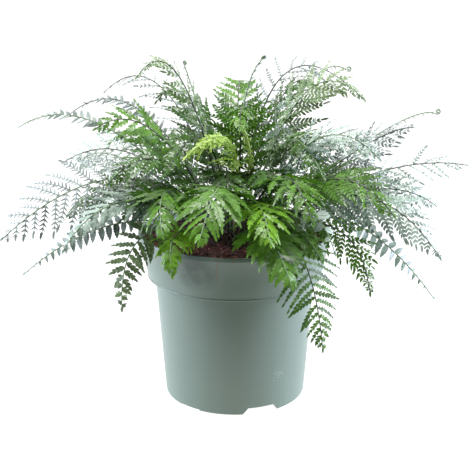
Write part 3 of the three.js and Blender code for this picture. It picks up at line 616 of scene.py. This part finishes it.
# name, cut, leaf, stalk, middle and tip of the rib, half width of the blade, turn of its face to the front
frontFronds = [
    ("left_wide", "lace", "ashen", "green", (-106, -45, 228), (-212, -75, 178), 43, 45),
    ("left_upper_1", "slender", "ashen", "green", (-134, 65, 257), (-225, 85, 252), 13, 35),
    ("left_upper_2", "slender", "ashen", "dark", (-101, 110, 266), (-180, 130, 257), 13, 35),
    ("left_upper_3", "airy", "ashen", "dark", (-75, 118, 286), (-143, 146, 279), 30, 24),
    ("top_left", "plume", "muted", "dark", (-49, -10, 312), (-90, -26, 318), 27, 35),
    ("left_high", "saw", "mid", "dark", (-72, -35, 268), (-126, -58, 276), 40, 45),
    ("left_middle", "lace", "glaucousSheen", "dark", (-98, 22, 236), (-172, 28, 226), 34, 35),
    ("left_inner", "plume", "deep", "dark", (-62, -58, 246), (-112, -86, 232), 36, 35),
    ("left_dense", "plume", "deep", "dark", (-100, -14, 208), (-160, -24, 186), 34, 40),
    ("left_low", "single", "ashen", "green", (-118, -14, 175), (-204, -28, 129), 16, 40),
    ("left_hanging", "toothed", "muted", "green", (-84, -72, 180), (-102, -98, 119), 24, 50),
    ("rim_left", "broad", "bright", "green", (-50, -92, 190), (-54, -126, 160), 24, 20),
    ("top_right", "airy", "ashen", "dark", (42, 50, 304), (116, 84, 296), 30, 35),
    ("upper_right", "plume", "muted", "green", (64, 8, 296), (122, -6, 294), 38, 40),
    ("right_long", "airy", "glaucousSheen", "dark", (138, 20, 218), (229, 20, 226), 34, 30),
    ("right_middle", "plume", "ashen", "dark", (112, -8, 244), (166, -24, 272), 36, 40),
    ("right_wide", "plume", "glaucousSheen", "dark", (112, -62, 216), (184, -92, 165), 42, 40),
    ("right_dense", "plume", "glaucousSheen", "dark", (128, 0, 206), (198, 4, 188), 38, 40),
    ("right_low", "single", "glaucousSheen", "green", (112, -8, 176), (196, -18, 100), 16, 40),
    ("right_inner", "plume", "mid", "dark", (84, -66, 232), (140, -100, 206), 38, 35),
    ("front_right_hanging", "comb", "mid", "dark", (55, -102, 178), (78, -122, 89), 40, 0),
    ("right_hanging", "plume", "mid", "dark", (92, -66, 186), (122, -94, 132), 26, 45),
    ("centre_broad", "leafy", "mid", "green", (-12, -96, 233), (-30, -157, 198), 50, 0),
    ("centre_left", "leafy", "mid", "green", (-58, -66, 222), (-62, -120, 194), 42, 0),
    ("centre_right", "saw", "mid", "dark", (40, -80, 238), (66, -132, 208), 42, 0),
    ("front_broad", "broad", "mid", "green", (26, -104, 194), (48, -156, 160), 38, 0),
    ("centre_young", "young", "young", "pale", (-4, -50, 262), (-44, -88, 256), 18, 10),
    ("front_right_single", "rounded", "glaucousSheen", "green", (60, -80, 207), (86, -124, 180), 17, 20),
    ("right_upper_front", "plume", "glaucousSheen", "green", (72, -40, 262), (130, -66, 250), 36, 40),
    ("left_front_middle", "leafy", "glaucousSheen", "green", (-96, -74, 214), (-150, -112, 178), 26, 40),
    ("centre_high", "plume", "mid", "dark", (6, -16, 280), (4, -80, 280), 36, 0),
    ("centre_high_right", "plume", "deep", "green", (48, -10, 255), (80, -72, 233), 32, 30),
    ("centre_high_left", "plume", "deep", "dark", (-27, -12, 256), (-61, -78, 242), 32, 30),
    ("centre_low", "leafy", "deep", "dark", (25, -60, 213), (62, -108, 193), 28, 0),
    ("right_fill", "saw", "deep", "dark", (82, -30, 227), (129, -62, 206), 32, 40),
    ("left_fill", "saw", "deep", "dark", (-64, -44, 215), (-100, -80, 200), 30, 40),
    ("centre_front", "leafy", "bright", "green", (18, -92, 217), (30, -149, 195), 44, 0),
    ("centre_deep_left", "saw", "deep", "dark", (-8, -40, 233), (-4, -100, 211), 34, 0),
    ("centre_deep_right", "saw", "deep", "dark", (24, -42, 234), (38, -98, 213), 34, 0),
    ("rim_right", "leafy", "mid", "green", (50, -82, 192), (76, -116, 170), 26, 20),
]
# name, kind, middle and tip of the rib, radius of the coil
croziers = [
    ("top_left", "plain", (-35, 60, 268), (-52, 80, 318), 2.6),
    ("top", "plain", (8, 44, 276), (29, 50, 328), 2.9),
    ("top_right", "plain", (71, 112, 286), (122, 146, 303), 2.9),
    ("right", "plain", (150, 84, 246), (214, 110, 262), 2.9),
    ("front", "young", (14, -56, 248), (3, -66, 284), 3.6),
    ("left", "plain", (-110, 62, 222), (-160, 78, 218), 2.8),
]
# name, cut, count, first and last bearing, reach and height of the middle and of the tip, half width
backRows = [
    ("back_low", "plume", 4, 26, 154, (102, 204), (155, 160), 38),
    ("back_middle", "plume", 4, 16, 150, (88, 244), (151, 226), 38),
    ("back_high", "saw", 3, 44, 136, (60, 286), (114, 284), 36),
]
backSpread = dict(seed=7, turn=5, reach=10, height=8)
# bare: share of the rib below the blade. below: depths of the foot's points in mm
stalk = dict(bare=0.3, foot=10, below=(5.0, 2.5), radius=1.15, bladeRadius=0.85, tipRadius=0.42, sides=8,
             stations=44, samples=241)
blade = dict(
    fold=6,  # degrees that both halves hang below the rib
    stagger={1: 0.2, -1: 0.6},  # place of the right and the left pinna in a pair's stretch of the rib
    sweepMore=22,  # degrees that the tip's pinnae lean forward more than the lowest
    lengths=(0.92, 1.04),  # unevenness of the pinnae
    # what the tip has more is a painted paling toward the tip: sheen and light through the blade from behind
    tone=0.3, toneRise=0.42, toneSpread=0.16,  # leaf tone at the foot, what the tip has more, and its spread
)
crozier = dict(
    steps=44, turns=1.3, tighten=0.72, stations=40,
    # thicker: mm more than the plain kind. first, stretch: share of the rib below and along the leaflets.
    # size, less: length of the first leaflet, and what each next one has less
    plain=dict(leaf="ashen", stalk="green", thicker=0, pairs=9, first=0.6, stretch=0.38, size=6, less=0.45),
    young=dict(leaf="young", stalk="pale", thicker=0.6, pairs=12, first=0.5, stretch=0.48, size=11,
               less=0.55),
)
bladeSlot, rindSlot = 0, 1  # material numbers of a frond


def rootOf(node):
    # the foot of the frond's CAD solid: its lowest corners inside the crown
    points = np.array([tuple(v.co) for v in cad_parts[node].data.vertices]) / mm
    inside = points[(np.hypot(points[:, 0], points[:, 1]) < 38) & (points[:, 2] < topOfSoil + 4)]
    foot = inside[inside[:, 2] < inside[:, 2].min() + 0.2]
    return (foot.min(axis=0) + foot.max(axis=0)) / 2 + [0, 0, stalk["foot"]]


class Rib:
    # The rib's curve through root, middle and tip, as in the CAD, with the blade's own directions along it
    def __init__(self, root, middle, tip, turn):
        root, middle, tip = (np.array(p, dtype=float) for p in (root, middle, tip))
        pull = 2 * middle - (root + tip) / 2
        t = np.linspace(0, 1, stalk["samples"])[:, None]
        self.points = (1 - t) ** 2 * root + 2 * t * (1 - t) * pull + t ** 2 * tip
        steps = np.linalg.norm(np.diff(self.points, axis=0), axis=1)
        self.length = steps.sum()
        self.shares = np.concatenate([[0], np.cumsum(steps)]) / self.length
        self.tangents = np.gradient(self.points, axis=0)
        heading = tip - root
        heading[2] = 0
        self.heading = unit(heading)
        self.across = np.cross(self.heading, [0, 0, 1])
        self.roll = math.radians(turn * self.heading[0])
        self.root = root

    def at(self, share):
        point = np.array([np.interp(share, self.shares, self.points[:, k]) for k in range(3)])
        along = unit(np.array([np.interp(share, self.shares, self.tangents[:, k]) for k in range(3)]))
        up = unit(np.cross(self.across, along))
        side = np.cross(along, up)
        return point, along, spin(side, along, self.roll), spin(up, along, self.roll)


def widthShare(cut, u):
    if u < cut["widest"]:
        return cut["base"] + (1 - cut["base"]) * math.sin(u / cut["widest"] * math.pi / 2)
    return max(0.12, 1 - ((u - cut["widest"]) / (1 - cut["widest"])) ** cut["taper"])


def growBlades(shape, foot, out, wide, up, length, halfWidth, outline, fold, curl, tone):
    # One flat piece of leaf on an outline, folded up a little along its middle and curled down to its tip
    plan, faces = outlines[outline]
    u, v = plan[:, 0:1], plan[:, 1:2]
    points = (foot + out * length * u + wide * halfWidth * v
              + up * (fold * halfWidth * np.abs(v) - curl * length * u ** 2))
    shape.add(points, faces, bladeSlot, tone, np.abs(plan[:, 1]))


def growPinna(shape, foot, out, wide, up, length, cut, rng, tone):
    # One side branch of the blade: a thin rib edged with lobes on both sides, or one whole leaflet
    if not cut["gap"]:
        growBlades(shape, foot, out, wide, up, length, length * cut["width"], cut["outline"], cut["fold"],
                   cut["curl"], tone)
        shares = (0, 0.35, 0.7, 0.97)
        path = [foot + out * length * s + up * (0.12 - cut["curl"] * length * s ** 2) for s in shares]
        tube(shape, path, [0.35, 0.26, 0.18, 0.08], 3, rindSlot, tone)
        return
    bend, droop = cut["forward"] + rng.normal(0, 0.06), cut["curl"] * rng.uniform(0.5, 1.6)
    count = max(3, int(round(length / cut["gap"])))
    s = np.linspace(0, 1, 2 * count + 1)[:, None]
    path = foot + out * length * s + wide * length * bend * s ** 2 - up * droop * length * s ** 2
    ahead = np.gradient(path, axis=0)
    ahead /= np.linalg.norm(ahead, axis=1)[:, None]
    stations = range(0, 2 * count + 1, max(1, count // 3))
    radii = cut["rib"] * min(1, 0.6 + length / 60)
    tube(shape, path[stations], [radii * (1 - 0.65 * k / (2 * count)) for k in stations], 3, bladeSlot, tone)
    halfWidth = max(cut["least"], cut["width"] * length)
    plan = np.array(lobes[cut["lobe"]])
    for i in range(count):
        middle = 2 * i + 1
        share = (i + 0.5) / count
        along = ahead[middle]
        across = unit(wide - along * np.dot(wide, along))
        normal = np.cross(along, across)
        normal *= np.sign(np.dot(normal, up)) or 1
        start, step = path[2 * i], path[2 * i + 2] - path[2 * i]
        # lobes gain height over the pinna's first part and lose it to its tip
        room = min(1, 0.6 + 2.7 * share) * (1 - share ** cut["blunt"]) ** 0.8
        for sign in (1, -1):
            w = halfWidth * room * rng.uniform(0.88, 1.1)
            x = np.concatenate([[0.42], [0.0], plan[:, 0], [plan[-1, 0]]])[:, None]
            y = np.concatenate([[0.45], [0.0], plan[:, 1], [0.0]])[:, None]
            lean = cut["lean"] + rng.normal(0, 0.08)
            rise = cut["rise"] + rng.normal(0, cut["ruffle"])
            sag = cut["sag"] + rng.normal(0, 0.1)
            height = w * (rise * y - sag * y ** 2)
            points = start + step * x + (along * lean + across * sign) * w * y + normal * height
            edge = len(points) - 1
            faces = [(0, k, k + 1) if sign < 0 else (0, k + 1, k) for k in range(1, edge)]
            faces.append((0, edge, 1) if sign < 0 else (0, 1, edge))
            shape.add(points, faces, bladeSlot, tone + rng.normal(0, 0.09), y[:, 0])
    along = ahead[-1]
    across = unit(wide - along * np.dot(wide, along))
    normal = np.cross(along, across)
    growBlades(shape, path[-2], along, across, normal * (np.sign(np.dot(normal, up)) or 1),
               length / count + halfWidth * 0.5, cut["gap"] * 0.3, "tip", 0.2, 0.05, tone)


def growStalk(shape, rib):
    shares = np.linspace(0, 1, stalk["stations"])
    path = [rib.at(s)[0] for s in shares]
    below = [rib.root - [0, 0, d] for d in stalk["below"]]
    path[0] = path[0] + (path[1] - path[0]) * 0.2 - [0, 0, 0.3]
    ends = [stalk["radius"], stalk["bladeRadius"], stalk["tipRadius"]]
    size = np.interp(shares, [0, stalk["bare"], 1], ends)
    tone = np.concatenate([[0, 0], np.interp(shares, [0, 0.3, 1], [0.0, 0.35, 0.95])])  # dark foot, paler tip
    tone = np.repeat(tone, stalk["sides"])
    radii = [size[0] * 1.25, size[0] * 1.15] + list(size)
    tube(shape, below + path, radii, stalk["sides"], rindSlot, tone, rib.across)


def makeFrond(name, cutName, leafName, stalkName, middle, tip, halfWidth, turn, seed):
    node = f"frond_{name}"
    cut = cuts[cutName]
    rng = np.random.default_rng(seed)
    rib = Rib(rootOf(node), middle, tip, turn)
    shape = Shape()
    growStalk(shape, rib)
    pairs = cut["pairs"]
    for i in range(pairs):
        for sign in (1, -1):
            u = (i + blade["stagger"][sign]) / pairs
            share = stalk["bare"] + (1 - stalk["bare"]) * 0.98 * u
            point, along, side, up = rib.at(share)
            fold = math.radians(blade["fold"] + rng.normal(0, cut["uneven"]))
            side = side * sign
            out = side * math.cos(fold) - up * math.sin(fold)
            normal = up * math.cos(fold) + side * math.sin(fold)
            sweep = math.radians(cut["sweep"] + blade["sweepMore"] * u + rng.normal(0, cut["uneven"] * 0.5))
            reach = out * math.cos(sweep) + along * math.sin(sweep)
            wide = along * math.cos(sweep) - out * math.sin(sweep)
            twist = math.radians(rng.normal(0, cut["uneven"]))
            wide, normal = spin(wide, reach, twist), spin(normal, reach, twist)
            length = halfWidth * widthShare(cut, u) * rng.uniform(*blade["lengths"])
            # tone rises toward the tip as painted sheen and light from behind, plus a random spread
            tone = blade["tone"] + blade["toneRise"] * u + rng.normal(0, blade["toneSpread"])
            growPinna(shape, point, reach, wide, normal, length, cut, rng, tone)
    point, along, side, up = rib.at(0.985)
    growBlades(shape, point, along, side, up, rib.length * 0.015 + 3, 1.4, "tip", 0.2, 0.05, 0.7)
    piece = shape.piece(f"fernFrond_{name}", [leaf[leafName], stalkFinish[stalkName]])
    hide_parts(node)
    return len(shape.faces)


def makeCrozier(name, kind, middle, tip, radius, seed):
    node = f"crozier_{name}"
    kind = crozier[kind]
    rng = np.random.default_rng(seed)
    rib = Rib(rootOf(node), middle, tip, 0)
    shape = Shape()
    shares = np.linspace(0, 1, crozier["stations"])
    path = [rib.root - [0, 0, d] for d in stalk["below"]] + [rib.at(s)[0] for s in shares]
    point, along, side, up = rib.at(1)
    grown, steps = len(path), crozier["steps"]
    bend = crozier["turns"] * 2 * math.pi / steps
    for i in range(1, steps + 1):
        along = spin(along, side, bend / 2)
        point = point + along * radius * (1 - crozier["tighten"] * i / steps) * bend
        along = spin(along, side, bend / 2)
        path.append(point)
    # thin at the neck, thicker round the coil
    sizes = np.concatenate([np.linspace(1.15, 0.5, grown), np.linspace(0.6, 0.85, steps // 2),
                            np.linspace(0.85, 0.5, steps - steps // 2)])
    tube(shape, path, sizes + kind["thicker"], stalk["sides"], rindSlot, 0.6, rib.across)
    cut = dict(cuts["young"], gap=1.7, least=1.3)
    for i in range(kind["pairs"]):
        share = kind["first"] + kind["stretch"] * i / (kind["pairs"] - 1)
        for sign in (1, -1):
            point, along, side, up = rib.at(share + 0.01 * sign)
            size = (kind["size"] - kind["less"] * i) * rng.uniform(0.8, 1.1)
            out = unit(side * sign + along * 0.9)
            wide = unit(np.cross(up, out)) * sign
            growPinna(shape, point, out, wide, up, size, cut, rng, 0.4 + 0.3 * rng.random())
    piece = shape.piece(f"coiledFrond_{name}", [leaf[kind["leaf"]], stalkFinish[kind["stalk"]]])
    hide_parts(node)
    return len(shape.faces)


def backFronds():
    # the same seeded rule as the CAD's
    state = backSpread["seed"]
    rows = []

    def vary(amount):
        nonlocal state
        state = (state * 9301 + 49297) % 233280
        return (state / 233280 * 2 - 1) * amount

    for name, cut, count, first, last, middleAt, tipAt, halfWidth in backRows:
        for i in range(count):
            bearing = first + (last - first) * i / (count - 1) + vary(backSpread["turn"])
            longer, higher = vary(backSpread["reach"]), vary(backSpread["height"])
            c, s = math.cos(math.radians(bearing)), math.sin(math.radians(bearing))
            middle, tip = (
                ((r + longer * k) * c, (r + longer * k) * s, z + higher * k)
                for (r, z), k in ((middleAt, 0.5), (tipAt, 1)))
            # every other back frond takes the deep finish, the darker copy that paints shade
            finish = ("deep", "mid")[i % 2]
            rows.append((f"{name}_{i + 1}", cut, finish, "dark", middle, tip, halfWidth, 0))
    return rows


faceCount = 0
for seed, row in enumerate(frontFronds + backFronds()):
    faceCount += makeFrond(*row, seed=100 + seed)
for seed, row in enumerate(croziers):
    faceCount += makeCrozier(*row, seed=300 + seed)
print("fronds made:", faceCount, "faces")

# floor and light

studio = dict(
    front=0.04, lower=0.3, sides=1.0, behind=1.0, strength=0.68,  # brightness of the room from front to back
    floorGlow=1.02, floorSize=60, mottling=30,  # half width of the floor in metres, its mottling in mm
    cloth=((-0.45, -1.4), (0.45, -0.212)), clothHeight=0.002, weave=2,  # metres, but the weave in mm
)
panels = [
    # name, place and target in metres, width, power, colour
    ("leftPanel", (-1.4, 0.2, 0.55), (0, 0, 0.15), 0.9, 34, "#DEE4FF"),
    ("rightPanel", (1.4, 0.2, 0.55), (0, 0, 0.15), 0.9, 42, "#DEE4FF"),
    ("topPanel", (-0.15, -0.2, 1.5), (0, 0, 0.2), 0.55, 27, "#FFFFFF"),
    ("backPanel", (0, 5.5, 3.2), (0, 5.5, 0), 5, 160, "#FFFFFF"),
]


def stageSheet(name, corners, height, material):
    # A level sheet between two corners, as part of the stage
    (left, near), (right, far) = corners
    mesh = bpy.data.meshes.new(name)
    points = [(x, y, height) for x, y in ((left, near), (right, near), (right, far), (left, far))]
    mesh.from_pydata(points, [], [(0, 1, 2, 3)])
    mesh.materials.append(material)
    sheet = bpy.data.objects.new(name, mesh)
    bpy.context.scene.collection.objects.link(sheet)
    return sheet


def makeFloor():
    # White acrylic lit from below: nothing throws a shadow on it, and its mottling is too faint to be noticed
    material, tree = newMaterial("litAcrylic")
    place = addNode(tree, "TexCoord").outputs["Object"]
    cloud = addNode(tree, "TexNoise", {"Scale": 1 / (studio["mottling"] * mm)}, Vector=place).outputs["Fac"]
    colour = addNode(tree, "ValToRGB", {"stops": [(0.3, "#FBFBFB"), (0.7, "#FDFDFD")]}, in0=cloud).outputs[0]
    acrylic = addNode(tree, "BsdfPrincipled",
                      {"Base Color": hexColour("#6C6C6C"), "Roughness": 0.9, "Specular IOR Level": 0.2,
                       "Emission Strength": studio["floorGlow"]}, Emission_Color=colour)
    addNode(tree, "OutputMaterial", in0=acrylic.outputs[0])
    size = studio["floorSize"]
    stageSheet("floor", ((-size, -size), (size, size)), 0, material)


def makeCloth():
    # Black cloth on the table in front of the plant: it takes light from the pot's front, as the dark room
    # behind a camera does, and isn't drawn itself
    material, tree = newMaterial("blackCloth")
    place = addNode(tree, "TexCoord").outputs["Object"]
    weave = addNode(tree, "TexNoise", {"Scale": 1 / (studio["weave"] * mm)}, Vector=place).outputs["Fac"]
    black = addNode(tree, "ValToRGB", {"stops": [(0.3, "#101010"), (0.7, "#161616")]}, in0=weave).outputs[0]
    wool = addNode(tree, "BsdfPrincipled", {"Roughness": 0.95}, Base_Color=black)
    addNode(tree, "OutputMaterial", in0=wool.outputs[0])
    cloth = stageSheet("cloth", studio["cloth"], studio["clothHeight"], material)
    cloth.visible_camera = cloth.visible_shadow = False


def makeRoom():
    # A white room, dimmer in front of the plant than beside and behind it
    world = bpy.data.worlds.new("studio")
    world.use_nodes = True
    room = world.node_tree
    direction = addNode(room, "TexCoord").outputs["Generated"]
    depth = addNode(room, "SeparateXYZ", in0=direction).outputs["Y"]
    share = addNode(room, "MapRange", {"From Min": -1.0, "From Max": 1.0}, in0=depth).outputs[0]
    stops = [(0.0, studio["front"]), (0.32, studio["lower"]), (0.5, studio["sides"]), (1.0, studio["behind"])]
    glow = addNode(room, "ValToRGB", {"stops": stops}, in0=share).outputs[0]
    background = room.nodes["Background"]
    background.inputs["Strength"].default_value = studio["strength"]
    room.links.new(glow, background.inputs["Color"])
    # past the floor's far edge the room itself is seen, and it is as white as the floor
    white = addNode(room, "Background", {"Color": hexColour("#FFFFFF"), "Strength": 1.0}).outputs[0]
    seen = addNode(room, "LightPath").outputs["Is Camera Ray"]
    both = addNode(room, "MixShader", in0=seen, in1=background.outputs[0], in2=white).outputs[0]
    room.links.new(both, room.nodes["World Output"].inputs["Surface"])
    bpy.context.scene.world = world


def areaLight(name, place, target, size, power, colour):
    data = bpy.data.lights.new(name, "AREA")
    data.shape, data.size, data.energy = "SQUARE", size, power
    data.color = hexColour(colour)[:3]
    obj = bpy.data.objects.new(name, data)
    obj.location = place
    obj.rotation_euler = (Vector(target) - Vector(place)).to_track_quat("-Z", "Y").to_euler()
    bpy.context.scene.collection.objects.link(obj)


makeFloor()
makeCloth()
makeRoom()
for panel in panels:
    areaLight(*panel)
bpy.context.scene.view_settings.view_transform = "Standard"
print("stage and lights set")
